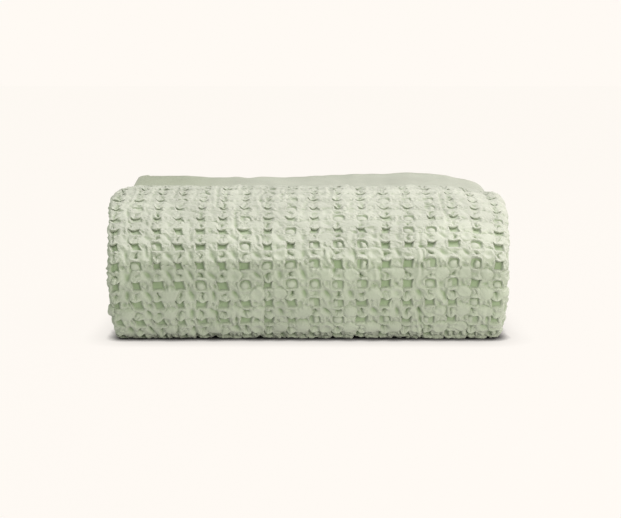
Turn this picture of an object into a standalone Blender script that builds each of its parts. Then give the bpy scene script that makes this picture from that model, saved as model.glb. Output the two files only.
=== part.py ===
"""A waffle weave cotton blanket, folded as it lies on a shelf. Run: blender --background --python part.py

The blanket is one sheet. It is folded twice, and both folds are built as they are made by hand:

1. Across its width, like a letter, in thirds. The middle third is the show side, layer "a". The left third
   folds in as layer "b", and the right third closes over it as layer "c". That makes a strip three layers deep.
2. Along its length, the strip goes back and forth three times, in passes A, B and C, and that pile is then
   folded in half towards the front. So pass A wraps the whole front, and six strips lie on each other.

The second step is worked out in "stack coordinates": travel, the way along the outside of the pile from the
middle of the front (plus over the top, minus along the base), and rise, the height above the pile's core.

Units are metres, +Z is up, the round front faces -Y, and the origin is under the middle of the folded blanket.
"""

import math

import bmesh
import bpy
import numpy as np

# Driving dimensions.
FOLDED_WIDTH = 0.404
FOLDED_DEPTH = 0.310
LAYER_PITCH = 0.0081  # one layer of lofty waffle cloth, and the air up to the next
CLOTH_THICK = 0.0067
CREST_HEIGHT = 0.1475  # top of the pile, behind the round front

# The outline of the pile in side view: how deep and high its round front is.
FRONT_HEIGHT = 0.083  # where the front stands out furthest
SHOULDER_REACH = 0.135  # from the front back to the crest
TOE_REACH = 0.034  # from the front back to where the base starts
ROUNDNESS = 1.65  # 2 makes quarter ellipses, and less makes them flatter
TIP_REACH = 0.072  # where the pile's core ends, behind the front
MID_HEIGHT = 0.073  # height of the core
BACK_LIFT = 0.007  # the springy folds at the back lift the core

# The plain border at the end of the cloth, which is thinner than the waffle.
BORDER_START = 0.165  # depth at which the waffle starts to thin out
BORDER_RUN = 0.045
BORDER_SHARE = 0.42  # the border's thickness as a share of the waffle's
BACK_HEIGHT = 0.1478

# How far each end and fold stands in front of the pile's back.
BASE_FOLD_INSET = 0.0  # pass A into B, near the base
UPPER_FOLD_INSET = 0.006  # pass B into C, under the border
BORDER_END_INSET = 0.004
INNER_END_INSET = 0.009

# How the soft pile departs from straight lines.
BASE_TUCK = 0.012
TOP_SPREAD = 0.032  # share by which they stand out at the top, where the waffle is least pressed
LEFT_DROOP = 0.010
LEFT_DROOP_RUN = 0.020
RIGHT_DROOP = 0.047
RIGHT_DROOP_RUN = 0.055
TOP_WAVE = 0.0028
TOP_WAVE_LENGTH = 0.400
TOP_WAVE_SHIFT = 0.020

# Facets.
LAYER_STATIONS = (0.0, 0.05, 0.14, 0.3, 0.5, 0.7, 0.86, 0.95, 1.0)  # across one layer, as shares of it
LEFT_TURN_STEPS = 4
RIGHT_TURN_STEPS = 6
BACK_TURN_STEPS = 6
TRAVEL_TOP = (0.017, 0.034, 0.052, 0.072, 0.094, 0.118, 0.145, 0.172, 0.195, 0.215, 0.235, 0.265, 0.300)
TOE_STATIONS = (0.18, 0.35, 0.51, 0.65, 0.78, 0.90, 1.0)  # shares of the way from the front to the base
TRAVEL_BASE = (0.180,)

COTTON = (0.46, 0.52, 0.38, 1.0)
COTTON_ROUGHNESS = 0.9

LAYERS_PER_STRIP = 3
STRIP_PITCH = LAYERS_PER_STRIP * LAYER_PITCH
LAYER_GAP = LAYER_PITCH - CLOTH_THICK
SKIN_RISE = LAYERS_PER_STRIP * STRIP_PITCH - LAYER_GAP / 2  # rise of the outermost surface
STRIP_RISE = {"A": 2.5 * STRIP_PITCH, "B": 1.5 * STRIP_PITCH, "C": 0.5 * STRIP_PITCH}


def smooth_step(value, start, run):
    """0 before start, 1 from start + run on, with a soft blend between."""
    share = np.clip((value - start) / run, 0.0, 1.0)
    return share * share * (3.0 - 2.0 * share)


def top_height(depth):
    """Height of the pile's top behind the crest: it dips where the waffle ends, and rises to the folds."""
    dip = 0.5 * (1.0 - np.cos(2.0 * math.pi * np.clip((depth - SHOULDER_REACH) / 0.150, 0.0, 1.0)))
    fall = smooth_step(depth, SHOULDER_REACH, FOLDED_DEPTH - SHOULDER_REACH - 0.04)
    curl = smooth_step(depth, FOLDED_DEPTH - 0.022, 0.030)
    return CREST_HEIGHT - (CREST_HEIGHT - BACK_HEIGHT) * fall - 0.0065 * dip - 0.006 * curl


def quarter(count):
    """Shares of a rounded quarter turn: how far along its flat axis, and how far along its upright one."""
    angle = np.linspace(0.0, math.pi / 2, count)
    power = 2.0 / ROUNDNESS
    return 1.0 - np.cos(angle) ** power, np.sin(angle) ** power


def make_outline():
    """The outside of the pile in side view, as travel, depth and height along it, from base to top."""
    along, up = quarter(90)
    past_back = FOLDED_DEPTH + 0.02
    flat_base = np.linspace(past_back, TOE_REACH, 60)
    flat_top = np.linspace(SHOULDER_REACH, past_back, 120)
    depth = np.concatenate([
        flat_base[:-1],
        TOE_REACH * along[::-1],
        SHOULDER_REACH * along[1:-1],
        flat_top,
    ])
    height = np.concatenate([
        np.zeros(len(flat_base) - 1),
        FRONT_HEIGHT * (1.0 - up[::-1]),
        FRONT_HEIGHT + (CREST_HEIGHT - FRONT_HEIGHT) * up[1:-1],
        top_height(flat_top),
    ])
    travel = np.concatenate([[0.0], np.cumsum(np.hypot(np.diff(depth), np.diff(height)))])
    front = len(flat_base) - 1 + len(along) - 1
    return travel - travel[front], depth, height


OUTLINE = make_outline()


def travel_at(depth, on_top):
    """Travel at which the outline's top, or its base, lies at a depth."""
    travel, depths, _ = OUTLINE
    side = travel > 0 if on_top else travel < 0
    order = np.argsort(depths[side])
    return float(np.interp(depth, depths[side][order], travel[side][order]))


def thin_border(rise, depth, travel):
    """Moves the rises in the top half so that pass A grows thin over its border, and the folds fill up."""
    inner = 2 * STRIP_PITCH
    inner_after = SKIN_RISE - BORDER_SHARE * (SKIN_RISE - inner)
    thinned = np.where(
        rise < inner,
        rise * inner_after / inner,
        inner_after + (rise - inner) * BORDER_SHARE,
    )
    share = smooth_step(depth, BORDER_START, BORDER_RUN) * (travel > 0)
    return rise + share * (thinned - rise)


def in_pile(travel, rise):
    """(depth, height) of points given by travel and rise."""
    travels, depths, heights = OUTLINE
    depth = np.interp(travel, travels, depths)
    height = np.interp(travel, travels, heights)
    past_tip = depth - TIP_REACH
    core_depth = TIP_REACH + 0.5 * (past_tip + np.hypot(past_tip, 0.02))
    core_height = MID_HEIGHT + BACK_LIFT * smooth_step(depth, 0.15, 0.10)
    share = thin_border(rise, depth, travel) / SKIN_RISE
    return core_depth + share * (depth - core_depth), core_height + share * (height - core_height)


def settle(x, y, z):
    """The soft pile's own unevenness: uneven width, drooping ends and a slow wave along its top."""
    level = z / CREST_HEIGHT
    waffle = 1.0 - smooth_step(y, SHOULDER_REACH - 0.01, 0.06)
    spread = TOP_SPREAD * smooth_step(level, 0.55, 0.40) * waffle
    tuck = BASE_TUCK * (1.0 - level) ** 8
    half = FOLDED_WIDTH / 2
    left = LEFT_DROOP * smooth_step(-x, half - LEFT_DROOP_RUN, LEFT_DROOP_RUN)
    right = RIGHT_DROOP * smooth_step(x, half - RIGHT_DROOP_RUN, RIGHT_DROOP_RUN)
    wave = TOP_WAVE * np.sin(2.0 * math.pi * (x - TOP_WAVE_SHIFT) / TOP_WAVE_LENGTH)
    back = smooth_step(y, SHOULDER_REACH, FOLDED_DEPTH - SHOULDER_REACH)
    return x * (1.0 + spread - tuck), y, z * (1.0 - left - right) + wave * level * back


def letter_fold():
    """The sheet's line across the strip: x, offset from the strip's middle, and the normal of side one."""
    left = FOLDED_WIDTH / 2 - LAYER_PITCH / 2 - CLOTH_THICK / 2
    right = FOLDED_WIDTH / 2 - LAYER_PITCH - CLOTH_THICK / 2
    layer_b_end = right + LAYER_PITCH - CLOTH_THICK / 2 - 0.002
    layer_c_end = FOLDED_WIDTH / 2 - 0.003
    rows = []

    def straight(start, end, offset):
        facing = 1.0 if end > start else -1.0
        rows.extend((start + share * (end - start), offset, 0.0, facing) for share in LAYER_STATIONS)

    def turn(centre, offset, radius, start, end, steps):
        for angle in np.linspace(math.radians(start), math.radians(end), steps + 1)[1:-1]:
            across, over = math.cos(angle), math.sin(angle)
            rows.append((centre + radius * across, offset + radius * over, across, over))

    straight(layer_b_end, -left, 0.0)
    turn(-left, LAYER_PITCH / 2, LAYER_PITCH / 2, 270, 90, LEFT_TURN_STEPS)
    straight(-left, right, LAYER_PITCH)
    turn(right, 0.0, LAYER_PITCH, 90, -90, RIGHT_TURN_STEPS)
    straight(right, -layer_c_end, -LAYER_PITCH)
    return np.array(rows)


def strip_path():
    """The strip's middle line: travel and rise of each station, and the direction of its outer side there."""
    toe = travel_at(TOE_REACH, on_top=False)
    below = [-t for t in TRAVEL_BASE] + [share * toe for share in TOE_STATIONS]
    stations = sorted([*below, 0.0, *TRAVEL_TOP])
    back = FOLDED_DEPTH - STRIP_PITCH + LAYER_GAP / 2
    base_fold = travel_at(back - BASE_FOLD_INSET, on_top=False)
    upper_fold = travel_at(back - UPPER_FOLD_INSET, on_top=True)
    border_end = travel_at(FOLDED_DEPTH - BORDER_END_INSET, on_top=True)
    inner_end = travel_at(FOLDED_DEPTH - INNER_END_INSET, on_top=False)
    rows = []

    def run(name, start, end):
        outward = -1.0 if name == "B" else 1.0
        between = [t for t in stations if min(start, end) < t < max(start, end)]
        ordered = [start, *(between if end > start else between[::-1]), end]
        rows.extend((travel, STRIP_RISE[name], 0.0, outward) for travel in ordered)

    def fold(travel, rise, way, outward, falling):
        for angle in np.linspace(0.0, math.pi, BACK_TURN_STEPS + 1)[1:-1]:
            along = way * math.sin(angle)
            over = math.cos(angle) if falling else -math.cos(angle)
            radius = STRIP_PITCH / 2
            rows.append((travel + radius * along, rise + radius * over, outward * along, outward * over))

    run("A", border_end, base_fold)
    fold(base_fold, 2.0 * STRIP_PITCH, way=-1.0, outward=1.0, falling=True)
    run("B", base_fold, upper_fold)
    fold(upper_fold, 1.0 * STRIP_PITCH, way=1.0, outward=-1.0, falling=True)
    run("C", upper_fold, inner_end)
    return np.array(rows)


def blanket_points(side):
    """The grid of points of one side of the cloth: across the letter fold, by along the strip."""
    across, along = letter_fold(), strip_path()
    x = across[:, 0] + side * CLOTH_THICK / 2 * across[:, 2]
    offset = across[:, 1] + side * CLOTH_THICK / 2 * across[:, 3]
    travel = along[:, 0] + offset[:, None] * along[:, 2]
    rise = along[:, 1] + offset[:, None] * along[:, 3]
    depth, height = in_pile(travel, rise)
    return np.stack(settle(x[:, None] + 0.0 * depth, depth, height), axis=-1)


def blanket_mesh():
    """One closed body: the two sides of the cloth, joined round its four edges."""
    sides = [blanket_points(1.0), blanket_points(-1.0)]
    low = np.min([side.min((0, 1)) for side in sides], axis=0)
    high = np.max([side.max((0, 1)) for side in sides], axis=0)
    under_middle = np.array([(low[0] + high[0]) / 2, (low[1] + high[1]) / 2, low[2]])
    body = bmesh.new()
    grid = [[[body.verts.new(p) for p in row] for row in side - under_middle] for side in sides]
    outer, inner = grid
    across, along = len(outer), len(outer[0])
    for i in range(across - 1):
        for j in range(along - 1):
            body.faces.new((outer[i][j], outer[i + 1][j], outer[i + 1][j + 1], outer[i][j + 1]))
            body.faces.new((inner[i][j], inner[i][j + 1], inner[i + 1][j + 1], inner[i + 1][j]))
    for i in (0, across - 1):
        for j in range(along - 1):
            body.faces.new((outer[i][j], outer[i][j + 1], inner[i][j + 1], inner[i][j]))
    for j in (0, along - 1):
        for i in range(across - 1):
            body.faces.new((outer[i][j], inner[i][j], inner[i + 1][j], outer[i + 1][j]))
    bmesh.ops.recalc_face_normals(body, faces=body.faces)
    mesh = bpy.data.meshes.new("blanket")
    body.to_mesh(mesh)
    body.free()
    return mesh


def cotton():
    """Matt, undyed-looking cotton in a pale sage green."""
    material = bpy.data.materials.new("sage_cotton")
    material.use_nodes = True
    shader = material.node_tree.nodes["Principled BSDF"]
    shader.inputs["Base Color"].default_value = COTTON
    shader.inputs["Roughness"].default_value = COTTON_ROUGHNESS
    shader.inputs["Metallic"].default_value = 0.0
    return material


def main():
    for old in list(bpy.data.objects):
        bpy.data.objects.remove(old)
    mesh = blanket_mesh()
    mesh.materials.append(cotton())
    mesh.shade_smooth()
    mesh.set_sharp_from_angle(angle=math.radians(40))
    blanket = bpy.data.objects.new("blanket", mesh)
    bpy.context.scene.collection.objects.link(blanket)


main()
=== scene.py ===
# %% [markdown]
# # A folded waffle blanket
#
# A waffle blanket is one length of cotton whose weave shrinks into a grid of soft cells: an open square
# hole, and round it raised pads, narrow necks and crinkled bridges. Here it lies folded into a low pile,
# with a round fold in front. The solid model already holds the folded sheet, with smooth faces. This lesson
# gives the same sheet its waffle, its hems, its plain border and its finish.
#
# The first step loads that solid as a fixed frame. Everything below is placed in it, in metres, and its box
# is kept, so that the cloth can be placed over it.

# %% Load the folded solid
import math

import bpy
import numpy as np
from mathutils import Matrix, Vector


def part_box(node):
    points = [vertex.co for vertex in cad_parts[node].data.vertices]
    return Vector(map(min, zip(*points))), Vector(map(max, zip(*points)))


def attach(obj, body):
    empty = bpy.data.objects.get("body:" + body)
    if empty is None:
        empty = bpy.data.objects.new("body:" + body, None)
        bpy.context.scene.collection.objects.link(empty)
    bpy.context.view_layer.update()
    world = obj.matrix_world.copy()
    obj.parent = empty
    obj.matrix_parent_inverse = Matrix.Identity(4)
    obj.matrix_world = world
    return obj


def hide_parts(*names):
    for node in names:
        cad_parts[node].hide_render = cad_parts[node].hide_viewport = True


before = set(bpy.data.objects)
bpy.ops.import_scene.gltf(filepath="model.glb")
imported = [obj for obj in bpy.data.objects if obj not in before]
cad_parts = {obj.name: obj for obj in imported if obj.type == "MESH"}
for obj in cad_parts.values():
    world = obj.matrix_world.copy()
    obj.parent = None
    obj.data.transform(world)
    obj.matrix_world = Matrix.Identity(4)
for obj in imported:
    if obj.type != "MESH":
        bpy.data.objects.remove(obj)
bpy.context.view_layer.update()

pile_low, pile_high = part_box("blanket")
print("solid blanket, mm:", [round(1000 * side) for side in pile_high - pile_low])

# %% [markdown]
# ## Colours
#
# Colours are written as the hex values that a picture editor shows. Blender works with linear light, so one
# function turns them round.

# %% Hex to linear colour
def linear(hex_colour):
    """Linear red, green, blue and alpha of an sRGB colour written as #rrggbb."""
    shares = [int(hex_colour[k : k + 2], 16) / 255 for k in (1, 3, 5)]
    light = [s / 12.92 if s <= 0.04045 else ((s + 0.055) / 1.055) ** 2.4 for s in shares]
    return (*light, 1.0)


SAGE_RAISED = linear("#a3aa9d")
# Painted shade: the darker, greener colour painted into the waffle's hollows.
SAGE_HOLLOW_PAINTED_SHADE = linear("#8b9b7f")
SAGE_PLAIN = linear("#91988b")
# Painted shade: the darker colour painted at the plain border's left end and along its hem.
SAGE_PLAIN_PAINTED_SHADE = linear("#818a77")
print("raised sage, linear:", [round(c, 3) for c in SAGE_RAISED])

# %% [markdown]
# ## How the blanket is folded
#
# The folds are made as by hand. Across its width the cloth is folded like a letter, in thirds: the middle
# third is the show side, layer a, the left third folds in as layer b, and the right third closes over it as
# layer c. The strip that this makes goes back and forth three times along its length, in passes A, B and C,
# and that pile is folded in half towards the front. Pass A wraps the whole front.
#
# The sizes are the same as the solid's, so that the visible cloth lies on the solid's own folds.

# %% Sizes of the pile
FOLDED_WIDTH = 0.404
FOLDED_DEPTH = 0.310
LAYER_PITCH = 0.0081
CLOTH_THICK = 0.0067
CREST_HEIGHT = 0.1475
FRONT_HEIGHT = 0.083
SHOULDER_REACH = 0.135
TOE_REACH = 0.034
ROUNDNESS = 1.65
TIP_REACH = 0.072
MID_HEIGHT = 0.073
BACK_LIFT = 0.007
BORDER_START = 0.165
BORDER_RUN = 0.045
BORDER_SHARE = 0.42
BACK_HEIGHT = 0.1478
UPPER_FOLD_INSET = 0.006
BORDER_END_INSET = 0.004
INNER_END_INSET = 0.009

HALF_THICK = CLOTH_THICK / 2
STRIP_PITCH = 3 * LAYER_PITCH
LAYER_GAP = LAYER_PITCH - CLOTH_THICK
SKIN_RISE = 3 * STRIP_PITCH - LAYER_GAP / 2
print("layers of cloth in the pile:", 3 * 6, "each", round(1000 * CLOTH_THICK, 1), "mm thick")

# %% [markdown]
# ## The outline of the pile
#
# Seen from the side, the pile is a flat base, a round toe and shoulder in front, and a top that dips a
# little where the thick waffle ends and the thin border begins. A quarter of a superellipse makes the round
# parts, so one number sets how full they are. "Travel" is the way along this outline from the middle of the
# front, plus over the top and minus along the base.

# %% Outline by travel
def smooth_step(value, start, run):
    """0 before start, 1 from start + run on, with a soft blend between."""
    share = np.clip((value - start) / run, 0.0, 1.0)
    return share * share * (3.0 - 2.0 * share)


def top_height(depth):
    """Height of the pile's top behind the crest."""
    dip = 0.5 * (1.0 - np.cos(2.0 * math.pi * np.clip((depth - SHOULDER_REACH) / 0.150, 0.0, 1.0)))
    fall = smooth_step(depth, SHOULDER_REACH, FOLDED_DEPTH - SHOULDER_REACH - 0.04)
    curl = smooth_step(depth, FOLDED_DEPTH - 0.022, 0.030)
    return CREST_HEIGHT - (CREST_HEIGHT - BACK_HEIGHT) * fall - 0.0065 * dip - 0.006 * curl


def make_outline():
    """Travel, depth and height along the pile's outside, from the back of the base to the back of the top."""
    angle = np.linspace(0.0, math.pi / 2, 600)
    along, up = 1.0 - np.cos(angle) ** (2.0 / ROUNDNESS), np.sin(angle) ** (2.0 / ROUNDNESS)
    flat_base = np.linspace(FOLDED_DEPTH + 0.02, TOE_REACH, 60)
    flat_top = np.linspace(SHOULDER_REACH, FOLDED_DEPTH + 0.02, 400)
    depth = np.concatenate([flat_base[:-1], TOE_REACH * along[::-1], SHOULDER_REACH * along[1:-1], flat_top])
    toe, shoulder = FRONT_HEIGHT * (1.0 - up[::-1]), FRONT_HEIGHT + (CREST_HEIGHT - FRONT_HEIGHT) * up[1:-1]
    height = np.concatenate([np.zeros(len(flat_base) - 1), toe, shoulder, top_height(flat_top)])
    travel = np.concatenate([[0.0], np.cumsum(np.hypot(np.diff(depth), np.diff(height)))])
    return travel - travel[len(flat_base) + len(along) - 2], depth, height


OUTLINE = make_outline()
print("outline from back to back:", round(float(np.ptp(OUTLINE[0])), 3), "m")

# %% [markdown]
# ## Inside the pile
#
# Each point inside is given by its travel and its rise above the pile's core. A straight line from the core
# to the outline carries it, so every layer follows the outside, tighter the further in it lies. Over the
# border, pass A grows thin and the passes below fill up its place. The last function adds what a soft pile
# does by itself: ends that droop, sides that stand out or tuck in, and a slow wave along the top.

# %% From travel and rise to a place
def travel_at(depth, on_top):
    """Travel at which the outline's top, or its base, lies at a depth."""
    travel, depths, _ = OUTLINE
    side = travel > 0 if on_top else travel < 0
    order = np.argsort(depths[side])
    return float(np.interp(depth, depths[side][order], travel[side][order]))


def border_blend(depth, travel):
    """0 in the waffle, 1 in the plain border on top of the pile."""
    return smooth_step(depth, BORDER_START, BORDER_RUN) * (travel > 0)


def in_pile(travel, rise):
    """(depth, height) of points given by travel and rise."""
    depth, height = np.interp(travel, OUTLINE[0], OUTLINE[1]), np.interp(travel, OUTLINE[0], OUTLINE[2])
    inner = 2 * STRIP_PITCH
    inner_after = SKIN_RISE - BORDER_SHARE * (SKIN_RISE - inner)
    thinned = np.where(
        rise < inner, rise * inner_after / inner, inner_after + (rise - inner) * BORDER_SHARE
    )
    share = (rise + border_blend(depth, travel) * (thinned - rise)) / SKIN_RISE
    core_depth = TIP_REACH + 0.5 * (depth - TIP_REACH + np.hypot(depth - TIP_REACH, 0.02))
    core_height = MID_HEIGHT + BACK_LIFT * smooth_step(depth, 0.15, 0.10)
    return core_depth + share * (depth - core_depth), core_height + share * (height - core_height)


print("outside of the front, m:", np.round(in_pile(0.0, SKIN_RISE), 3))

# %% The soft pile's own unevenness
def settle(x, y, z):
    """Uneven width, drooping ends and a slow wave along the top."""
    half, level = FOLDED_WIDTH / 2, z / CREST_HEIGHT
    spread = 0.032 * smooth_step(level, 0.55, 0.40) * (1.0 - smooth_step(y, SHOULDER_REACH - 0.01, 0.06))
    tuck = 0.012 * np.clip(1.0 - level, 0.0, 1.0) ** 8
    droop = 0.010 * smooth_step(-x, half - 0.020, 0.020) + 0.047 * smooth_step(x, half - 0.055, 0.055)
    wave = 0.0028 * np.sin(2.0 * math.pi * (x - 0.020) / 0.400)
    back = smooth_step(y, SHOULDER_REACH, FOLDED_DEPTH - SHOULDER_REACH)
    return np.stack([x * (1.0 + spread - tuck), y, z * (1.0 - droop) + wave * level * back], axis=-1)


right_end = settle(np.array(FOLDED_WIDTH / 2), np.array(SHOULDER_REACH), np.array(CREST_HEIGHT))
print("right end of the crest, m:", np.round(right_end, 3))

# %% [markdown]
# ## Two rulers on the cloth
#
# A point of the cloth has two addresses. "Across" runs from the free edge of layer b, round the left fold,
# over the show side, round the right fold and along layer c to its free edge. "Along" runs from the end of
# the plain border, over the top and the front, through the passes to the other end of the cloth. Both are
# measured on the outer face, where the waffle is seen. Past a free edge they go on round the hem to the
# cloth's other face.

# %% Across the strip
LEFT = FOLDED_WIDTH / 2 - LAYER_PITCH / 2 - HALF_THICK
RIGHT = FOLDED_WIDTH / 2 - LAYER_PITCH - HALF_THICK
B_EDGE = RIGHT + LAYER_PITCH - HALF_THICK - 0.002
C_EDGE = FOLDED_WIDTH / 2 - 0.003
LEFT_FOLD_START = B_EDGE + LEFT
SHOW_START = LEFT_FOLD_START + math.pi * (LAYER_PITCH / 2 + HALF_THICK)
SHOW_END = SHOW_START + LEFT + RIGHT
LAYER_C_START = SHOW_END + math.pi * (LAYER_PITCH + HALF_THICK)
CLOTH_WIDTH = LAYER_C_START + RIGHT + C_EDGE
HEM_TURN = math.pi * HALF_THICK


def letter_fold(across):
    """x and offset of the cloth's middle, and the x and offset parts of its outer face's direction."""
    left_angle = -math.pi / 2 - (across - LEFT_FOLD_START) / (LAYER_PITCH / 2 + HALF_THICK)
    right_angle = math.pi / 2 - (across - SHOW_END) / (LAYER_PITCH + HALF_THICK)
    hem_angle = np.clip((across - CLOTH_WIDTH) / HALF_THICK, 0.0, math.pi)
    under = np.maximum(across - CLOTH_WIDTH - HEM_TURN, 0.0)
    parts = [across < LEFT_FOLD_START, across < SHOW_START, across < SHOW_END, across < LAYER_C_START]
    half_pitch = LAYER_PITCH / 2
    x = np.select(parts, [
        B_EDGE - across,
        -LEFT + half_pitch * np.cos(left_angle),
        across - SHOW_START - LEFT,
        RIGHT + LAYER_PITCH * np.cos(right_angle),
    ], np.maximum(RIGHT - (across - LAYER_C_START), -C_EDGE) + under)
    offset = np.select(parts, [
        0.0 * across,
        half_pitch + half_pitch * np.sin(left_angle),
        LAYER_PITCH + 0.0 * across,
        LAYER_PITCH * np.sin(right_angle),
    ], -LAYER_PITCH)
    out_x = np.select(parts, [0.0 * across, np.cos(left_angle), 0.0 * across, np.cos(right_angle)],
                      -np.sin(hem_angle))
    out_n = np.select(parts, [-1.0 + 0.0 * across, np.sin(left_angle), 1.0 + 0.0 * across,
                              np.sin(right_angle)], -np.cos(hem_angle))
    return x, offset, out_x, out_n


print("cloth across, laid flat:", round(CLOTH_WIDTH, 3), "m")

# %% Along the strip
BACK = FOLDED_DEPTH - STRIP_PITCH + LAYER_GAP / 2
BORDER_END = travel_at(FOLDED_DEPTH - BORDER_END_INSET, on_top=True)
LOWER_FOLD = travel_at(BACK, on_top=False)
UPPER_FOLD = travel_at(BACK - UPPER_FOLD_INSET, on_top=True)
INNER_END = travel_at(FOLDED_DEPTH - INNER_END_INSET, on_top=False)
FOLD_RUN = math.pi * (STRIP_PITCH / 2 + LAYER_PITCH + HALF_THICK)
LOWER_FOLD_AT = BORDER_END - LOWER_FOLD
PASS_B_AT = LOWER_FOLD_AT + FOLD_RUN
UPPER_FOLD_AT = PASS_B_AT + UPPER_FOLD - LOWER_FOLD
PASS_C_AT = UPPER_FOLD_AT + FOLD_RUN
CLOTH_LENGTH = PASS_C_AT + UPPER_FOLD - INNER_END


def strip_path(along):
    """Travel and rise of the strip's middle, the same parts of its outer direction, and the hem's turn."""
    lower = np.clip((along - LOWER_FOLD_AT) / FOLD_RUN, 0.0, 1.0) * math.pi
    upper = np.clip((along - UPPER_FOLD_AT) / FOLD_RUN, 0.0, 1.0) * math.pi
    parts = [along < LOWER_FOLD_AT, along < PASS_B_AT, along < UPPER_FOLD_AT, along < PASS_C_AT]
    radius = STRIP_PITCH / 2
    past_border = np.maximum(-along - HEM_TURN, 0.0)
    past_end = np.maximum(along - CLOTH_LENGTH - HEM_TURN, 0.0)
    travel = np.select(parts, [
        np.minimum(BORDER_END - along, BORDER_END) - past_border,
        LOWER_FOLD - radius * np.sin(lower),
        LOWER_FOLD + along - PASS_B_AT,
        UPPER_FOLD + radius * np.sin(upper),
    ], np.maximum(UPPER_FOLD - (along - PASS_C_AT), INNER_END) + past_end)
    rise = np.select(parts, [
        5 * radius + 0.0 * along,
        4 * radius + radius * np.cos(lower),
        3 * radius + 0.0 * along,
        2 * radius + radius * np.cos(upper),
    ], radius)
    none, one = 0.0 * along, 1.0 + 0.0 * along
    out_travel = np.select(parts, [none, -np.sin(lower), none, -np.sin(upper)], 0.0)
    out_rise = np.select(parts, [one, np.cos(lower), -one, -np.cos(upper)], 1.0)
    hem = np.clip(np.maximum(-along, along - CLOTH_LENGTH) / HALF_THICK, 0.0, math.pi)
    return travel, rise, out_travel, out_rise, hem, np.where(along < 0, BORDER_SHARE, -1.0)


print("cloth along, laid flat:", round(CLOTH_LENGTH, 3), "m")

# %% A point of the cloth
def unplaced_point(across, along, height):
    """Where a point of the cloth lies in the pile's own sizes, height metres proud of its outer face."""
    x, offset, out_x, out_n = letter_fold(across)
    travel, rise, out_travel, out_rise, hem, hem_way = strip_path(along)
    proud = HALF_THICK + height
    level = offset + proud * out_n * np.cos(hem)
    end_travel = proud * np.sin(hem) * hem_way
    depth, up = in_pile(travel + level * out_travel + end_travel, rise + level * out_rise)
    return settle(x + proud * out_x * np.cos(hem), depth, up)


def placement():
    """The move that brings the pile's box over the solid's box."""
    a, b = np.meshgrid(np.linspace(0, CLOTH_WIDTH, 400), np.linspace(0, CLOTH_LENGTH, 900), indexing="ij")
    points = unplaced_point(a, b, 0.0 * a).reshape(-1, 3)
    low, high = points.min(0), points.max(0)
    solid_low, solid_high = np.array(pile_low), np.array(pile_high)
    print("smooth cloth, mm:", np.round(1000 * (high - low), 1))
    middle = (solid_low + solid_high - low - high) / 2
    return np.array([middle[0], middle[1], solid_low[2]])


PLACED = placement()


def cloth_point(across, along, height):
    """The same point in the frame's metres, pressed flat where it would go through the surface below."""
    points = unplaced_point(across, along, height) + PLACED
    points[..., 2] = np.maximum(points[..., 2], 0.0001)
    return points


# %% [markdown]
# ## The waffle's grid
#
# Waffle weave makes its cells from long floats of yarn. Washing shrinks the floats, the ground between them
# buckles, and every cell comes out a little different. So each cell has its own draw of chance: tables of
# seeded random numbers hold one number for each hole, pad, neck and bridge. Smooth noise does what happens
# over several cells, such as rows that wander.

# %% Chance for cells, and smooth noise
CELL_ACROSS = 0.0226
CELL_ALONG = 0.0207
MARGIN = 60


def draws(seed):
    """A table with one number from 0 to 1 for each cell."""
    return np.random.RandomState(seed).rand(240, 240)


def drawn(table, column, row):
    """The table's numbers for whole cells."""
    return table[column.astype(int) + MARGIN, row.astype(int) + MARGIN]


def noise(seed, a, b):
    """Smooth noise from -1 to 1 with features one unit across."""
    table = draws(seed)
    i, j = np.floor(a), np.floor(b)
    s, t = a - i, b - j
    s, t = s * s * (3 - 2 * s), t * t * (3 - 2 * t)
    i, j = i.astype(int) % 239, j.astype(int) % 239
    near = table[i, j] * (1 - s) + table[i + 1, j] * s
    far = table[i, j + 1] * (1 - s) + table[i + 1, j + 1] * s
    return 2 * (near * (1 - t) + far * t) - 1


def mound(value, half):
    """A smooth mound, 1 in the middle and 0 from half out."""
    return np.clip(1 - (value / half) ** 2, 0.0, 1.0) ** 2


print("cells across the show side:", round((LEFT + RIGHT) / CELL_ACROSS, 1))

# %% [markdown]
# ## Holes and their lips
#
# In the functions below, ca and cb are column and row numbers with their fractions: whole numbers are the
# middles of holes, halves are the middles of pads, and fa and fb are the ways from the hole's middle. Row
# numbers grow downwards on the front. The holes' widths are shares of a cell, and heights are metres.
#
# Each hole is about 10 mm wide, with a floor of thin ground weave. The bridges above and below sag into it
# and the necks at its sides lean in, so its outline is a square with four hollow sides, often narrow or
# skewed. The grid of points has lines along the hole's rim, so moving those lines sideways bends the rim
# itself and makes a lip that hangs over the floor, which a height alone can't do. On the front the floor is
# flat and shallower towards its lower end. On top of the pile, where the cloth lies slack, the hole is a
# shallow bowl.
#
# In some cells, and more of them towards the right, the floor has turned inside out. It stands up as a
# small ball in a rounder hole, whole or cut off at one side.

# %% Where the cloth is slack, and which holes have popped
def slackness(cb):
    """1 where the cloth lies slack on top of the pile, 0 where the front pulls it taut."""
    return 1 - smooth_step(cb, -5.5, 5.5)


def popped_holes(ca, cb):
    """True in the cells whose floor has turned inside out."""
    i, j = np.rint(ca), np.rint(cb)
    return drawn(draws(21), i, j) < 0.08 + 0.25 * smooth_step(ca, 2.5, 5.0)


def range_mm(heights):
    """Lowest and highest of some heights, in millimetres."""
    return round(1000 * float(heights.min()), 1), round(1000 * float(heights.max()), 1)


SAMPLE = np.meshgrid(np.linspace(0, 17, 341), np.linspace(-10, 5, 301))
print("share of popped holes:", round(float(popped_holes(*SAMPLE).mean()), 2))

# %% Edges of the holes
def rim_reach(way):
    """1 at a hole's rim, fading out towards its middle and past the rim."""
    return smooth_step(np.abs(way), 0.17, 0.065) * (1 - smooth_step(np.abs(way), 0.29, 0.21))


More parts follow.
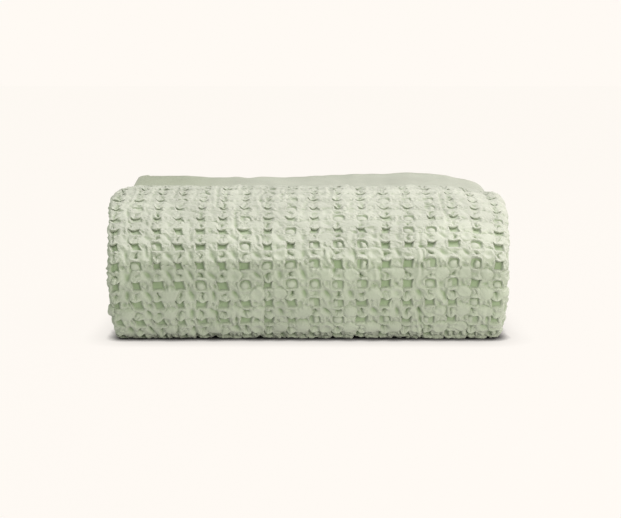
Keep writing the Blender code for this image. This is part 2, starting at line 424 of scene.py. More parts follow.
def hole_edges(ca, cb):
    """Sideways moves of the rim, in cells: bridges sag into the hole and necks lean in."""
    i, j = np.rint(ca), np.rint(cb)
    fa, fb = ca - i, cb - j
    popped = popped_holes(ca, cb)
    from_above = np.where(popped, -0.030, 0.045) + 0.060 * drawn(draws(11), i, np.floor(cb))
    from_above = from_above + np.where(popped, 0.0, 0.100) * slackness(cb)
    from_below = (0.010 + 0.035 * drawn(draws(15), i, np.floor(cb))) * smooth_step(cb, -7.0, 5.0)
    sag = np.where(fb < 0, from_above, -from_below)
    lean = 0.005 + 0.030 * drawn(draws(12), np.floor(ca), j)
    near = 1 - smooth_step(np.hypot(fa, fb), 0.26, 0.23)
    grow = (np.where(popped, 0.09, 0.01) + 0.12 * (drawn(draws(13), i, j) - 0.5)) * near
    narrow = np.where(popped, 0.0, 0.34) * (drawn(draws(18), i, j) - 0.70) * near
    skew = np.where(popped, 0.0, 0.60) * (drawn(draws(19), i, j) - 0.45) * near * fb
    shear = 0.16 * noise(14, ca / 4.0, cb / 3.0) + 0.24 * (1 - smooth_step(ca, 2.0, 7.0))
    slant = shear * fb * mound(fb, 0.5) * mound(fa, 0.5)
    bow = 1.20 * np.clip(1 - (fa / 0.25) ** 2, 0.0, 1.0)
    move_a = -np.sign(fa) * lean * mound(fb, 0.28) * rim_reach(fa) + fa * (grow + narrow) + slant + skew
    move_b = sag * bow * rim_reach(fb) + fb * grow
    return move_a, move_b


print("rims move up and down between, mm:", *range_mm(-CELL_ALONG * hole_edges(*SAMPLE)[1]))

# %% Depth of the holes
HOLE_DEPTH = 0.0032
HOLE_FLOOR = 0.183
HOLE_WALL = 0.084


def ball_height(ca, cb):
    """The ball in a popped hole, as a share of the hole's depth."""
    i, j = np.rint(ca), np.rint(cb)
    side = drawn(draws(22), i, j)
    off_a = (ca - i) - (0.05 * (2 * side - 1) - 0.022)
    off_b = (cb - j) - (0.010 + 0.035 * drawn(draws(23), i, j))
    half_a = 0.158 + 0.035 * drawn(draws(24), i, j)
    half_b = 0.172 + 0.030 * drawn(draws(26), i, j)
    far = (off_a / half_a) ** 2 + (off_b / half_b) ** 2
    ball = np.sqrt(np.clip(1 - far**1.3, 0.0, 1.0))
    cut = smooth_step(off_a * np.sign(side - 0.5), -0.06, 0.05)
    ball = ball * np.where(np.abs(side - 0.5) > 0.25, cut, 1.0)
    return (1.0 + 0.25 * drawn(draws(25), i, j)) * ball


def hole_height(ca, cb):
    """Height of the hole's floor and of the ball in it, and where the hole is, from 0 to 1."""
    i, j = np.rint(ca), np.rint(cb)
    fa, fb = ca - i, cb - j
    popped = popped_holes(ca, cb)
    bowl = slackness(cb)
    right = np.where(fa > 0, 0.055, 0.0)  # the wall at the right is gentler
    low = 0.035 * smooth_step(fb, 0.0, 0.15)  # and so is the lower one
    side_start = HOLE_FLOOR - right - 0.130 * bowl
    side_wall = 1 - smooth_step(np.abs(fa), side_start, HOLE_WALL + 1.3 * right + 0.150 * bowl)
    end_wall = 1 - smooth_step(np.abs(fb), HOLE_FLOOR - low, HOLE_WALL + 2 * low)
    from_middle = (np.abs(fa) ** 3 + np.abs(fb) ** 3) ** (1 / 3)
    round_wall = 1 - smooth_step(from_middle, HOLE_FLOOR - low, HOLE_WALL + 2 * low)
    hole = np.where(popped, round_wall, side_wall * end_wall)
    slope = 1.22 - (0.32 + 0.40 * bowl) * smooth_step(fb, -0.22, 0.44)
    depth = HOLE_DEPTH * (1 - 0.32 * bowl) * (1 - 0.25 * popped)
    return -depth * slope * hole * (1 - popped * ball_height(ca, cb)), hole


print("hole from rim to rim, mm:", round(2000 * (HOLE_FLOOR + HOLE_WALL / 2) * CELL_ACROSS, 1))
print("holes and balls, lowest and highest, mm:", *range_mm(hole_height(*SAMPLE)[0]))

# %% [markdown]
# ## Pads, bridges and necks
#
# The pads are where four cells meet: smooth plain weave, blown up like small cushions, dimpled, or pushed
# in along one slanting crease, which is softer towards the top of the pile. A bridge lies between a hole
# and the next one below, with a rolled lip at both rims and a crumpled middle. Where the cloth is slack,
# the lip's middle sinks into the hole. A neck lies between two holes side by side, gathered into upright
# pleats. Their sizes are metres, with x across the cell and y along it.

# %% Pads
def pad_height(ca, cb):
    """Smooth or dimpled cushions, or pads pushed in along a slanting crease, and where the pads are."""
    i, j = np.floor(ca), np.floor(cb)
    x, y = (ca - i - 0.5) * CELL_ACROSS, (cb - j - 0.5) * CELL_ALONG
    size = 0.86 + 0.24 * drawn(draws(31), i, j)
    ragged = 1 + 0.22 * noise(35, ca * 2.3, cb * 2.3)
    out = ragged * np.sqrt((x / (0.0074 * size)) ** 2 + (y / (0.0070 * size)) ** 2)
    cushion = np.clip(1 - out**3, 0.0, 1.0)
    creased = drawn(draws(32), i, j) < 0.82 - 0.38 * smooth_step(ca, 3.0, 7.0)
    slant = math.radians(-5) + math.radians(55) * drawn(draws(33), i, j)
    over = x * np.cos(slant) - y * np.sin(slant)
    crease_wide = 0.0021 + 0.0014 * drawn(draws(36), i, j)
    steep = 1 - 0.65 * (1 - smooth_step(cb, -6.0, 7.0))
    ridge = 0.0004 * np.exp(-(((over + 0.0018 + crease_wide) / 0.0024) ** 2)) * mound(out, 1.5)
    dip = 0.0031 * np.exp(-(((over - 0.0010) / crease_wide) ** 2)) * mound(out, 1.20)
    full = 0.0009 + 0.0009 * drawn(draws(34), i, j)
    groove = 0.0010 * np.exp(-(((out - 1.10) / 0.15) ** 2)) * smooth_step(x - y, -0.006, 0.008)
    dimple = 0.0022 * smooth_step(drawn(draws(38), i, j), 0.60, 0.20) * mound(out, 0.75)
    smooth_pad = full * cushion - groove - dimple
    return np.where(creased, steep * (ridge - dip) + 0.0004 * cushion, smooth_pad), mound(out, 1.3)


print("pads, lowest and highest, mm:", *range_mm(pad_height(*SAMPLE)[0]))

# %% Bridges and necks
def bridge_height(ca, cb):
    """Rolled lips and a crumpled middle between a hole and the next one below."""
    i, j = np.rint(ca), np.floor(cb)
    x, y = (ca - i) * CELL_ACROSS, (cb - j - 0.5) * CELL_ALONG
    hanging = 0.0011 + 0.0011 * drawn(draws(41), i, j)
    upper = 0.0002 + 0.0008 * drawn(draws(42), i, j)
    roll = np.where(y > 0, hanging, upper) * np.exp(-(((np.abs(y) - 0.0044) / 0.0014) ** 2))
    slack = 0.75 * slackness(cb)
    roll = roll * (1 - slack * mound(x, 0.0052))
    roll = roll - 0.0024 * slack * mound(x, 0.0060) * smooth_step(y, 0.0, 0.0030)
    turn = math.pi * (0.10 + 0.65 * drawn(draws(46), i, j))
    along, over = x * np.cos(turn) - y * np.sin(turn), x * np.sin(turn) + y * np.cos(turn)
    bend = 0.0013 * np.sin(along / 0.0013 + 6 * drawn(draws(43), i, j))
    deep = 0.0030 * smooth_step(drawn(draws(45), i, j), 0.05, 0.50)
    pit = deep * np.exp(-(((over - bend) / 0.0009) ** 2)) * mound(along, 0.0048)
    sunk = 0.0009 * drawn(draws(44), i, j) * mound(y, 0.0042)
    folds = 0.0014 * noise(47, x / 0.0050 + 5 * i, y / 0.0018 + 9 * j + 3 * i)
    return roll * mound(x, 0.0070) + (folds - sunk) * mound(x, 0.0062) * mound(y, 0.0058) - pit


def neck_height(ca, cb):
    """Upright pleats gathered between two holes side by side."""
    i, j = np.floor(ca), np.rint(cb)
    x, y = (ca - i - 0.5) * CELL_ACROSS, (cb - j) * CELL_ALONG
    edge = 0.0006 * np.exp(-(((np.abs(x) - 0.0050) / 0.0012) ** 2))
    pleat = 0.0016 * noise(51, x / 0.0022 + 7 * i + 3 * j, y / 0.0040 + 5 * j)
    return (edge + pleat - 0.0005) * mound(y, 0.0064) * mound(x, 0.0090)


def long_pleats(ca, cb):
    """A few upright pleats that run on through several pads and necks."""
    i = np.floor(ca)
    x = (ca - i - 0.5) * CELL_ACROSS - 0.0040 * noise(52, 9.1 * i, cb / 1.3)
    runs = smooth_step(noise(53, 7.3 * i, cb / 1.5), 0.25, 0.35)
    return runs * (0.0010 * np.exp(-((x / 0.0017) ** 2)) - 0.0016 * np.exp(-(((x - 0.0032) / 0.0017) ** 2)))


print("bridges, lowest and highest, mm:", *range_mm(bridge_height(*SAMPLE)))
print("necks, lowest and highest, mm:", *range_mm(neck_height(*SAMPLE)))

# %% [markdown]
# ## The whole relief
#
# The parts are added up, a little flatter over the top and the shoulder and fuller low on the front, with a
# crumple that the smooth pads don't have and a slow unevenness over several cells. The folded ends of the
# top are fuller than the smooth fold. The waffle fades out into the plain border, which keeps only soft
# flutes. Where layers press on each other the relief is pressed flat, so it is full only on faces that look
# outwards.

# %% Full ends
def full_ends(ca, cb):
    """How far the two folded ends of the top stand out, most of all beside the crest."""
    left = 0.0032 * mound(ca - LEFT_TURN, 1.0) * mound(cb + 5.9, 2.9)
    return left + 0.0050 * mound(ca - RIGHT_TURN, 1.0) * mound(cb + 7.5, 5.0)


def full_border_ends(ca):
    """How far the two folded ends of the plain border stand out."""
    return 0.0055 * mound(ca - LEFT_TURN + 0.20, 0.70) + 0.0055 * mound(ca - RIGHT_TURN - 0.25, 0.95)


# %% Relief of the waffle
def waffle(ca, cb):
    """Sideways moves in cells, height in metres, and how hollow and how gathered each place is."""
    move_a, move_b = hole_edges(ca, cb)
    hollow_height, hole = hole_height(ca, cb)
    pad, on_pad = pad_height(ca, cb)
    raised = pad + bridge_height(ca, cb) + neck_height(ca, cb) + long_pleats(ca, cb)
    raised = raised * (0.84 + 0.44 * smooth_step(cb, -2.0, 4.0))
    crumple = 0.0008 * noise(61, ca * 7.5, cb * 7) * (1 - on_pad) * (1 - hole)
    slow = 0.0007 * noise(62, ca / 2.3, cb / 1.9) + 0.0004 * noise(63, ca / 1.1, cb / 1.2)
    slow = slow + full_ends(ca, cb) + 0.6 * full_border_ends(ca) * mound(cb - BORDER_ROW, 3.5)
    height = raised * (1 - hole) + hollow_height + crumple + slow
    jitter_a = 0.026 * noise(64, ca * 2.7, cb * 2.7) + 0.035 * noise(65, ca / 2.7, cb / 1.6)
    jitter_b = 0.026 * noise(66, ca * 2.7, cb * 2.7) + 0.050 * noise(67, ca / 1.7, cb / 3.0)
    # The hollow mark is painted shade: the material paints the recesses darker and greener by it.
    hollow = np.clip(-(height - slow) / 0.0026 - 0.20, 0.0, 1.0)
    gathered = (1 - on_pad) * (1 - hole)
    return move_a + jitter_a, move_b + jitter_b, height, hollow, gathered


def flutes(ca, along):
    """The plain border: soft uneven flutes, a turned hem with its stitched groove, and full ends."""
    flute = 0.0005 * np.cos(2 * math.pi * ca) + 0.0028 * noise(71, ca / 0.8, along / 0.07)
    hem = 0.0009 * (1 - smooth_step(along, 0.0135, 0.0015))
    stitch = 0.0008 * np.exp(-(((along - 0.0118) / 0.0008) ** 2))
    return flute + hem - stitch + full_border_ends(ca)


# %% Where the relief is free to stand out
def freedom(across, along):
    """1 on faces that look out of the pile, and 0 where two layers lie on each other."""
    base = cloth_point(across, along, 0.0 * across)
    outwards = cloth_point(across, along, 0.001 + 0.0 * across) - base
    outwards /= np.maximum(np.linalg.norm(outwards, axis=-1, keepdims=True), 1e-9)
    _, offset, _, out_n = letter_fold(across)
    _, rise, _, out_rise, _, _ = strip_path(along)
    skin = smooth_step(rise + (offset + HALF_THICK * out_n) * out_rise, SKIN_RISE - 0.010, 0.008)
    to_side = smooth_step(np.abs(outwards[..., 0]), 0.25, 0.50)
    to_back = smooth_step(outwards[..., 1], 0.20, 0.50) * smooth_step(base[..., 1], 0.110, 0.020)
    return np.maximum(skin * (out_rise > 0), np.maximum(to_side, to_back))


front_and_inside = np.full(2, SHOW_START + LEFT), np.array([BORDER_END, PASS_B_AT + 0.2])
print("free to stand out, on the front and inside the pile:", freedom(*front_and_inside).round(2))

# %% [markdown]
# ## Cells to metres
#
# Column 0 is the first column of holes beside the left fold, and row 0 runs along the middle of the front.
# The columns are not quite evenly spaced, and the rows climb a little to the right, as on a real pile.

# %% Cells to metres
FIRST_COLUMN = -0.1938
COLUMN_WANDER = 0.0052
FRONT_ROW = -0.0015
ROW_DRIFT = 0.0125


def across_of(ca):
    """Metres across the cloth of a column number."""
    wander = COLUMN_WANDER * np.sin(math.pi * np.clip(ca / 12, 0, 1))
    return SHOW_START + LEFT + FIRST_COLUMN + CELL_ACROSS * ca - wander


def along_of(ca, cb):
    """Metres along the cloth of a row number."""
    x = np.clip(across_of(ca) - SHOW_START - LEFT, -LEFT, RIGHT)
    return BORDER_END - FRONT_ROW + CELL_ALONG * cb - ROW_DRIFT * x


def column_of(across):
    """Column number of a place across the cloth."""
    columns = np.linspace(-40, 60, 4001)
    return float(np.interp(across, across_of(columns), columns))


def row_of(along):
    """Row number of a place along the cloth, on the middle of the show side."""
    return (along - BORDER_END + FRONT_ROW) / CELL_ALONG


LEFT_TURN = column_of(SHOW_START - math.pi / 2 * (LAYER_PITCH / 2 + HALF_THICK))
RIGHT_TURN = column_of(SHOW_END + math.pi / 2 * (LAYER_PITCH + HALF_THICK))
print("columns at the middle of the two folds:", round(LEFT_TURN, 2), round(RIGHT_TURN, 2))
print("rows of cells from end to end:", round(CLOTH_LENGTH / CELL_ALONG, 1))

# %% [markdown]
# ## Grids of points
#
# The cloth is too big for one even grid: the show side needs a line every millimetre and the hidden layers
# almost none. So each piece of it is a grid with its own lines. Inside a cell they gather at the rim of the
# hole, where the shape turns sharply. Neighbouring pieces meet where their layers are hidden, or share
# their lines.

# %% Lines inside a cell
HALF_CELL = {
    "fine": (0.050, 0.100, 0.150, 0.185, 0.204, 0.221, 0.240, 0.266, 0.298, 0.335, 0.375, 0.415, 0.458),
    "medium": (0.080, 0.150, 0.198, 0.220, 0.245, 0.300, 0.390),
    "coarse": (0.200, 0.250, 0.370),
    "bare": (),
}


def cell_lines(start, end, detail):
    """Cell numbers of a piece's lines from start to end."""
    half = HALF_CELL[detail]
    inside = sorted([-0.5, *half, *[-h for h in half]] + ([0.0] if half else []))
    lines = [whole + part for whole in range(math.floor(start) - 1, math.ceil(end) + 2) for part in inside]
    kept = [line for line in lines if start + 0.01 < line < end - 0.01]
    return np.array([start, *kept, end])


def stretches(*parts):
    """Lines of several stretches with their own detail, one after the other."""
    lines = np.concatenate([cell_lines(*part) for part in parts])
    return lines[np.concatenate([[True], np.diff(lines) > 1e-6])]


print("lines across a cell:", {detail: len(cell_lines(0.0, 1.0, detail)) for detail in HALF_CELL})

# %% [markdown]
# ## From a grid to a mesh
#
# Every piece goes through the same function. It works out the points, turns the grid into four-sided faces
# that look outwards, and keeps three things for the finish: how hollow each point is, which sets the shade
# painted into the hollows, how gathered it is, and a map with the cloth's own metres, so that the threads of
# the weave keep their size round every fold. On the plain border the hollow mark carries painted shade
# instead, darker at the border's left end and along its hem.
# The directions for smooth shading come from a grid that is one line larger all round, so that no seam
# shows where two pieces meet.

# %% Build a piece of the cloth
BORDER_WAFFLE_END = 0.106
BORDER_WAFFLE_RUN = 0.012
SMOOTH_EDGE = 0.004  # no relief this close to a hem
FAINT_WRINKLE = 0.3  # the least that any cloth is gathered


def shaped(ca, cb):
    """Points of a grid of cell numbers, the two marks for the finish, and the cloth's metres."""
    across, along = across_of(ca), along_of(ca, cb)
    free = freedom(across, along)
    waffled = smooth_step(along, BORDER_WAFFLE_END - BORDER_WAFFLE_RUN, BORDER_WAFFLE_RUN)
    move_a, move_b, height, hollow, gathered = waffle(ca, cb)
    keep = free * waffled
    inside = (across > SMOOTH_EDGE) & (across < CLOTH_WIDTH - SMOOTH_EDGE)
    inside = inside & (along < CLOTH_LENGTH - SMOOTH_EDGE)
    height = np.where(inside, height * keep, 0.0) + flutes(ca, along) * (1 - waffled) * free
    slide = np.where(inside, keep, 0.0)
    moved_across = across + slide * CELL_ACROSS * move_a
    moved_along = along + slide * CELL_ALONG * move_b
    # Painted shade on the plain border, darker towards its left end and along its hem, carried by the hollow
    # mark.
    left_end = 1 - smooth_step(across, SHOW_START + 0.030, 0.110)
    hem = 0.8 * (1 - smooth_step(along, 0.004, 0.030))
    border_painted_shade = np.maximum(left_end, hem) * (along < BORDER_WAFFLE_END) * (1 - waffled)
    marks = np.stack([hollow * keep + border_painted_shade, np.maximum(gathered * keep, FAINT_WRINKLE)], axis=-1)
    return cloth_point(moved_across, moved_along, height), marks, across, along


def widened(lines):
    """The lines with one more at each end, to give the piece's rim its true slope."""
    return np.concatenate([[2 * lines[0] - lines[1]], lines, [2 * lines[-1] - lines[-2]]])


def cloth_piece(name, columns, rows):
    """A mesh object for a grid of columns by rows of cell numbers."""
    ca, cb = np.meshgrid(widened(columns), widened(rows), indexing="ij")
    points, marks, across, along = shaped(ca, cb)
    slope_a = points[2:, 1:-1] - points[:-2, 1:-1]
    slope_b = points[1:-1, 2:] - points[1:-1, :-2]
    normals = np.cross(slope_b, slope_a).reshape(-1, 3)
    normals /= np.maximum(np.linalg.norm(normals, axis=1, keepdims=True), 1e-12)
    points, marks = points[1:-1, 1:-1], marks[1:-1, 1:-1]
    metres = np.stack([across[1:-1, 1:-1], along[1:-1, 1:-1]], axis=-1).reshape(-1, 2)
    number = np.arange(marks[..., 0].size).reshape(marks.shape[:2])
    corners = [number[:-1, :-1], number[:-1, 1:], number[1:, 1:], number[1:, :-1]]
    faces = np.stack(corners, axis=-1).reshape(-1, 4)
    mesh = bpy.data.meshes.new(name)
    mesh.from_pydata(points.reshape(-1, 3), [], faces)
    mesh.shade_smooth()
    mesh.normals_split_custom_set_from_vertices(normals)
    for k, mark in enumerate(("hollow", "gathered")):
        values = marks[..., k].astype(np.float32).ravel()
        mesh.attributes.new(mark, "FLOAT", "POINT").data.foreach_set("value", values)
    uv = mesh.uv_layers.new(name="cloth")
    uv.uv.foreach_set("vector", metres[faces.ravel()].astype(np.float32).ravel())
    piece = bpy.data.objects.new(name, mesh)
    bpy.context.scene.collection.objects.link(piece)
    smooth = cloth_point(across[1:-1, 1:-1], along[1:-1, 1:-1], 0.0 * number)
    wide = np.linalg.norm(np.diff(smooth, axis=0), axis=-1).sum(0).mean()
    long = np.linalg.norm(np.diff(smooth, axis=1), axis=-1).sum(1).mean()
    print(f"{name}: {2 * len(faces)} triangles, {wide:.3f} x {long:.3f} m laid flat")
    return piece, (float(wide), float(long))


# %% [markdown]
# ## The pieces
#
# Real waffle cloth is one length. It is cut here only so that no mesh grows too big to handle: the top and
# the front of the show side with the folds at both ends, the base, the two folds at the back, passes B and
# C whose folds and hems show from the sides, the inner layers of pass A, and the plain border.

# %% The edges between the pieces
LEFT_HIDDEN = column_of(LEFT_FOLD_START - 0.008)
LEFT_INNER = column_of(SHOW_START + 0.014)
RIGHT_INNER = column_of(SHOW_END - 0.014)
RIGHT_HIDDEN = column_of(LAYER_C_START + 0.010)
B_END = column_of(0.0)
C_NEAR_EDGE = column_of(CLOTH_WIDTH - 0.016)
C_END = column_of(CLOTH_WIDTH)
HEM_BACK = 0.014

BORDER_ROW = row_of(0.100)
UPPER_ROW = -6.5
LOWER_ROW = -1.5
TOE_ROW = 4.5
BASE_BACK_ROW = math.floor(row_of(LOWER_FOLD_AT)) - 1.5
PASS_B_ROW = math.ceil(row_of(PASS_B_AT)) + 1.5
UPPER_FOLD_ROW = math.floor(row_of(UPPER_FOLD_AT)) - 1.5
PASS_C_ROW = math.ceil(row_of(PASS_C_AT)) + 1.5
END_ROW = row_of(CLOTH_LENGTH)
print("waffle rows on show:", round(TOE_ROW - BORDER_ROW, 1))
print("whole relief, lowest and highest, mm:", *range_mm(waffle(*SAMPLE)[2]))


def hem_lines(edge, cell, outwards):
    """Cell numbers of the lines round a hem, from a little before its edge to where it ends underneath."""
    turn = np.array([0.0, 0.15, 0.3, 0.5, 0.7, 0.85, 1.0]) * HEM_TURN
    places = np.concatenate([turn, [HEM_TURN + 0.005, HEM_TURN + HEM_BACK]])
    return np.sort(edge + outwards * places / cell)


# %% Build the pieces
show_columns = cell_lines(LEFT_HIDDEN, RIGHT_HIDDEN, "fine")
back_columns = cell_lines(LEFT_HIDDEN, RIGHT_HIDDEN, "medium")
c_hem = hem_lines(C_END, CELL_ACROSS, 1)
c_edge_columns = np.concatenate([cell_lines(C_NEAR_EDGE, C_END, "medium")[:-1], c_hem])
side_columns = stretches(
    (LEFT_HIDDEN, LEFT_INNER, "medium"),
    (LEFT_INNER, RIGHT_INNER, "bare"),
    (RIGHT_INNER, RIGHT_HIDDEN, "medium"),
    (RIGHT_HIDDEN, C_NEAR_EDGE, "bare"),
)
all_columns = np.concatenate([
    cell_lines(B_END, LEFT_HIDDEN, "bare")[:-1],
    side_columns[:-1],
    c_edge_columns,
])
end_hem = hem_lines(END_ROW, CELL_ALONG, 1)
border_rows = np.concatenate([
    hem_lines(row_of(0.0), CELL_ALONG, -1)[:-1],
    row_of(np.arange(0.0, 0.018, 0.0011)),
    row_of(np.arange(0.0202, 0.099, 0.0028)),
    [BORDER_ROW],
])
border_columns = np.concatenate([
    cell_lines(B_END, LEFT_HIDDEN, "bare")[:-1],
    cell_lines(LEFT_HIDDEN, RIGHT_HIDDEN, "medium")[:-1],
    cell_lines(RIGHT_HIDDEN, C_NEAR_EDGE, "bare")[:-1],
    c_edge_columns,
])
upper_fold_columns = np.concatenate([
    cell_lines(B_END, LEFT_INNER, "coarse")[:-1],
    cell_lines(LEFT_INNER, RIGHT_INNER, "bare")[:-1],
    cell_lines(RIGHT_INNER, C_END, "medium")[:-1],
    c_hem,
])
PIECES = {
    "blanket_top": (show_columns, cell_lines(BORDER_ROW, UPPER_ROW, "fine")),
    "blanket_shoulder": (show_columns, cell_lines(UPPER_ROW, LOWER_ROW, "fine")),
    "blanket_front": (show_columns, cell_lines(LOWER_ROW, TOE_ROW, "fine")),
    "blanket_base": (back_columns, cell_lines(TOE_ROW, BASE_BACK_ROW, "coarse")),
    "blanket_lower_back_fold": (back_columns, cell_lines(BASE_BACK_ROW, PASS_B_ROW, "medium")),
    "blanket_pass_b": (all_columns, cell_lines(PASS_B_ROW, UPPER_FOLD_ROW, "coarse")),
    "blanket_upper_back_fold": (upper_fold_columns, cell_lines(UPPER_FOLD_ROW, PASS_C_ROW, "medium")),
    "blanket_pass_c": (
        all_columns,
        np.concatenate([cell_lines(PASS_C_ROW, END_ROW, "coarse")[:-1], end_hem]),
    ),
    "blanket_layer_b": (
        cell_lines(B_END, LEFT_HIDDEN, "bare"),
        cell_lines(BORDER_ROW, PASS_B_ROW, "coarse"),
    ),
    "blanket_layer_c": (
        np.concatenate([cell_lines(RIGHT_HIDDEN, C_NEAR_EDGE, "bare")[:-1], c_edge_columns]),
        cell_lines(BORDER_ROW, PASS_B_ROW, "coarse"),
    ),
    "blanket_border": (border_columns, border_rows),
}
blanket = {}
for name, (columns, rows) in PIECES.items():
    blanket[name] = cloth_piece(name, columns, rows)
triangles = sum(2 * len(piece.data.polygons) for piece, _ in blanket.values())
print("triangles in all:", triangles)

# %% [markdown]
# ## Sage waffle cotton
#
# The cloth is soft-spun cotton, piece dyed and washed, with no gloss at all: its fibres scatter light and
# give the edges of the folds a faint pale sheen. Cotton's refractive index is about 1.53. The threads are
# about 0.5 mm apart, which is too fine to show from a step away, so they are drawn at 0.9 mm and kept
# faint. The fuzz between them is drawn coarser too. Where the cloth is gathered, small wrinkles of about 3
# mm lie over its relief. The hollows are painted a darker, greener sage: painted shade for the light that
# reaches the eye there only after several bounces between dyed fibres. The dye takes a little unevenly, in
# patches of some 45 mm.

# %% Nodes
def add(tree, kind, settings=None, links=None):
    """Adds a node with its settings, and links its named or numbered inputs to other nodes' outputs."""
    node = tree.nodes.new(kind)
    for name, value in (settings or {}).items():
        if isinstance(name, int) or name in node.inputs:
            node.inputs[name].default_value = value
        else:
            setattr(node, name, value)
    for name, source in (links or {}).items():
        tree.links.new(source, node.inputs[name])
    return node


# %% Woven cotton
THREAD = 0.0009
DYE_PATCHES = 22.0  # in a metre
WRINKLES = 360.0  # in a metre
FUZZ = 900.0  # dots in a metre


def woven_cotton(name, raised, painted_shade_colour, bump):
    """Matt cotton: shade painted by the hollow mark, uneven dye, small wrinkles, a plain weave of threads."""
    material = bpy.data.materials.new(name)
    material.use_nodes = True
    tree = material.node_tree
    tree.nodes.clear()
    hollow = add(tree, "ShaderNodeAttribute", {"attribute_name": "hollow"})
    metres = add(tree, "ShaderNodeUVMap", {"uv_map": "cloth"})
    dye = add(
        tree, "ShaderNodeTexNoise", {"Scale": DYE_PATCHES, "Detail": 4.0}, {"Vector": metres.outputs["UV"]},
    )
    dye_share = add(
        tree, "ShaderNodeMapRange", {"From Min": 0.3, "From Max": 0.7, "To Min": 0.89, "To Max": 1.08},
        {"Value": dye.outputs["Fac"]},
    )
    # Painted shade: the hollow mark mixes in the darker colour.
    depth = add(
        tree, "ShaderNodeMix", {"data_type": "RGBA", 6: raised, 7: painted_shade_colour},
        {0: hollow.outputs["Fac"]},
    )
    colour = add(
        tree, "ShaderNodeVectorMath", {"operation": "SCALE"},
        {0: depth.outputs[2], "Scale": dye_share.outputs["Result"]},
    )
    threads = add(
        tree, "ShaderNodeVectorMath", {"operation": "SCALE", "Scale": 2 * math.pi / THREAD},
        {0: metres.outputs["UV"]},
    )
    split = add(tree, "ShaderNodeSeparateXYZ", {}, {0: threads.outputs[0]})
    warp = add(tree, "ShaderNodeMath", {"operation": "SINE"}, {0: split.outputs["X"]})
    weft = add(tree, "ShaderNodeMath", {"operation": "SINE"}, {0: split.outputs["Y"]})
    weave = add(tree, "ShaderNodeMath", {"operation": "MULTIPLY"}, {0: warp.outputs[0], 1: weft.outputs[0]})
    fuzz = add(
        tree, "ShaderNodeTexNoise", {"Scale": FUZZ, "Detail": 2.0}, {"Vector": metres.outputs["UV"]},
    )
    relief = add(
        tree, "ShaderNodeMath", {"operation": "MULTIPLY_ADD", 1: 0.35},
        {0: weave.outputs[0], 2: fuzz.outputs["Fac"]},
    )
    gathered = add(tree, "ShaderNodeAttribute", {"attribute_name": "gathered"})
    wrinkle = add(
        tree, "ShaderNodeTexNoise", {"Scale": WRINKLES, "Detail": 2.0}, {"Vector": metres.outputs["UV"]},
    )
    wrinkled = add(
        tree, "ShaderNodeMath", {"operation": "MULTIPLY"},
        {0: wrinkle.outputs["Fac"], 1: gathered.outputs["Fac"]},
    )
    crumpled = add(
        tree, "ShaderNodeBump", {"Strength": 0.9, "Distance": 0.0024}, {"Height": wrinkled.outputs[0]},
    )
    bumped = add(
        tree, "ShaderNodeBump", {"Strength": bump, "Distance": 0.0004},
        {"Height": relief.outputs[0], "Normal": crumpled.outputs[0]},
    )
    shader = add(
        tree, "ShaderNodeBsdfPrincipled",
        {"Roughness": 0.92, "IOR": 1.53, "Specular IOR Level": 0.25, "Sheen Weight": 0.3,
         "Sheen Roughness": 0.5, "Sheen Tint": (1.0, 0.98, 0.95, 1.0)},
        {"Base Color": colour.outputs[0], "Normal": bumped.outputs[0]},
    )
    add(tree, "ShaderNodeOutputMaterial", {}, {"Surface": shader.outputs[0]})
    return material


waffle_cotton = woven_cotton("sage_waffle_woven_cotton", SAGE_RAISED, SAGE_HOLLOW_PAINTED_SHADE, 0.35)
border_cotton = woven_cotton("sage_plain_woven_cotton", SAGE_PLAIN, SAGE_PLAIN_PAINTED_SHADE, 0.30)
print("cotton materials:", waffle_cotton.name, border_cotton.name)

# %% [markdown]
# ## Dress the solid
#
# Each piece takes its material and its slot and rides on the blanket's one body. Together they stand for
# the solid, which is then hidden.

for name, (piece, flat) in blanket.items():
    piece.data.materials.append(border_cotton if name == "blanket_border" else waffle_cotton)
    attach(piece, "root")
    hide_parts("blanket")
print("pieces that stand for the blanket:", len(blanket))

# %% [markdown]
# ## Floor, light and camera
#
# The blanket stands on a pale seamless sweep. The sweep has to look as bright as the room behind it, so it
# glows by itself. It is darker only near the blanket, in a thin line of contact and a faint haze a few
# centimetres wide. An Ambient Occlusion node measures each of them.
#
# A wide soft light hangs almost straight above the blanket, a little to the right, so that the top is
# bright, the rolled lips catch it, and every hole on the front lies in its own shade. A smaller light
# stands low in front, to the right, and the pale room, which is faintly green, fills the rest. The camera
# stands in front of the pile, a little above its top, and looks down on it.

# %% Floor
WARM_WHITE = linear("#fffaf4")
KEY_SHARE = 1.23
ROOM_SHARE = 0.80
KEY_FROM = Vector((0.37, -0.04, 0.92)).normalized()
PAPER = 0.01


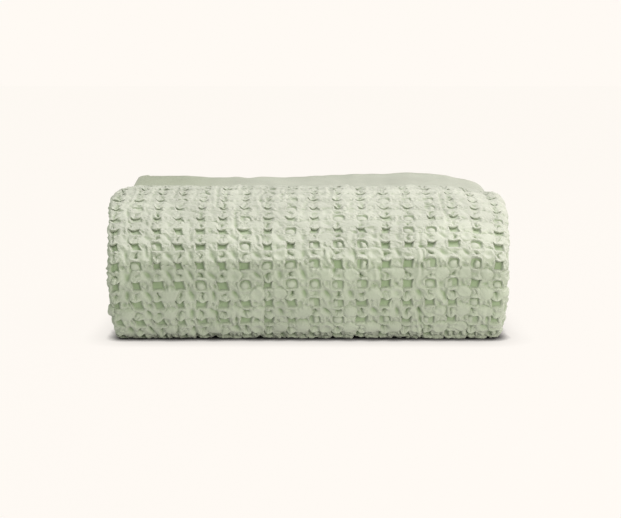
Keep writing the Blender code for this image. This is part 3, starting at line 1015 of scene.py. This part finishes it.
def pale_sweep():
    """A plain floor as bright as the room behind it, darker only where the blanket shuts out the light."""
    material = bpy.data.materials.new("pale_sweep")
    material.use_nodes = True
    tree = material.node_tree
    tree.nodes.clear()
    paper = add(tree, "ShaderNodeBsdfDiffuse", {"Color": (PAPER, PAPER, PAPER, 1.0)})
    glow = add(tree, "ShaderNodeEmission", {"Color": WARM_WHITE})
    near = add(tree, "ShaderNodeAmbientOcclusion", {"Distance": 0.012, "samples": 8})
    around = add(tree, "ShaderNodeAmbientOcclusion", {"Distance": 0.036, "samples": 8})
    line = add(tree, "ShaderNodeMath", {"operation": "POWER", 1: 2.0}, {0: near.outputs["AO"]})
    haze = add(tree, "ShaderNodeMath", {"operation": "POWER", 1: 0.35}, {0: around.outputs["AO"]})
    open_air = add(
        tree, "ShaderNodeMath", {"operation": "MULTIPLY"}, {0: line.outputs[0], 1: haze.outputs[0]},
    )
    glow_share = 1.0 - PAPER * (ROOM_SHARE + KEY_SHARE * KEY_FROM.z)
    share = add(tree, "ShaderNodeMath", {"operation": "MULTIPLY", 1: glow_share}, {0: open_air.outputs[0]})
    tree.links.new(share.outputs[0], glow.inputs["Strength"])
    both = add(tree, "ShaderNodeAddShader", {}, {0: paper.outputs[0], 1: glow.outputs[0]})
    add(tree, "ShaderNodeOutputMaterial", {}, {"Surface": both.outputs[0]})
    return material


SWEEP_HALF = 30.0
corners = [(x * SWEEP_HALF, y * SWEEP_HALF, 0.0) for x, y in ((-1, -1), (1, -1), (1, 1), (-1, 1))]
floor_mesh = bpy.data.meshes.new("floor")
floor_mesh.from_pydata(corners, [], [(0, 1, 2, 3)])
floor_mesh.materials.append(pale_sweep())
floor = bpy.data.objects.new("floor", floor_mesh)
bpy.context.scene.collection.objects.link(floor)
print("sweep, m:", 2 * SWEEP_HALF, "square")

# %% Light
FILL_SHARE = 0.59
FILL_FROM = Vector((0.49, -0.86, 0.16)).normalized()
KEY_LIGHT = linear("#ffeaff")
FILL_LIGHT = linear("#faf3e6")
ROOM_LIGHT = linear("#eef9dc")


def soft_light(name, towards, distance, share, size, colour):
    """A round soft light that gives the blanket share times the light of an even white room."""
    light = bpy.data.lights.new(name, "AREA")
    light.shape = "DISK"
    light.size = size
    light.energy = (math.pi * distance) ** 2 * share
    light.color = colour[:3]
    lamp = bpy.data.objects.new(name, light)
    lamp.location = distance * towards
    lamp.rotation_euler = towards.to_track_quat("Z", "Y").to_euler()
    lamp.visible_camera = False
    bpy.context.scene.collection.objects.link(lamp)
    return lamp


soft_light("key", KEY_FROM, 1.8, KEY_SHARE, 1.60, KEY_LIGHT)
soft_light("fill", FILL_FROM, 1.0, FILL_SHARE, 0.60, FILL_LIGHT)

world = bpy.data.worlds.new("pale_room")
world.use_nodes = True
path = add(world.node_tree, "ShaderNodeLightPath")
room = add(
    world.node_tree, "ShaderNodeMix",
    {"data_type": "RGBA", 6: [ROOM_SHARE * part for part in ROOM_LIGHT[:3]] + [1.0], 7: WARM_WHITE},
    {0: path.outputs["Is Camera Ray"]},
)
world.node_tree.links.new(room.outputs[2], world.node_tree.nodes["Background"].inputs["Color"])
bpy.context.scene.world = world
bpy.context.scene.view_settings.view_transform = "Standard"

# %% Camera
CAMERA_DISTANCE = 1.240
CAMERA_HEIGHT = 0.269
CAMERA_SIDE = 0.002
FOCAL_PIXELS = 1255.7
PICTURE_WIDTH = 621
PITCH_DOWN = math.radians(8.34)

camera_data = bpy.data.cameras.new("camera")
camera_data.sensor_width = 36.0
camera_data.lens = 36.0 * FOCAL_PIXELS / PICTURE_WIDTH
camera_data.clip_start, camera_data.clip_end = 0.05, 100.0
camera = bpy.data.objects.new("camera", camera_data)
camera.location = (CAMERA_SIDE, -FOLDED_DEPTH / 2 - CAMERA_DISTANCE, CAMERA_HEIGHT)
camera.rotation_euler = (math.pi / 2 - PITCH_DOWN, 0.0, 0.0)
bpy.context.scene.collection.objects.link(camera)
bpy.context.scene.camera = camera
print("lens:", round(camera_data.lens, 1), "mm")
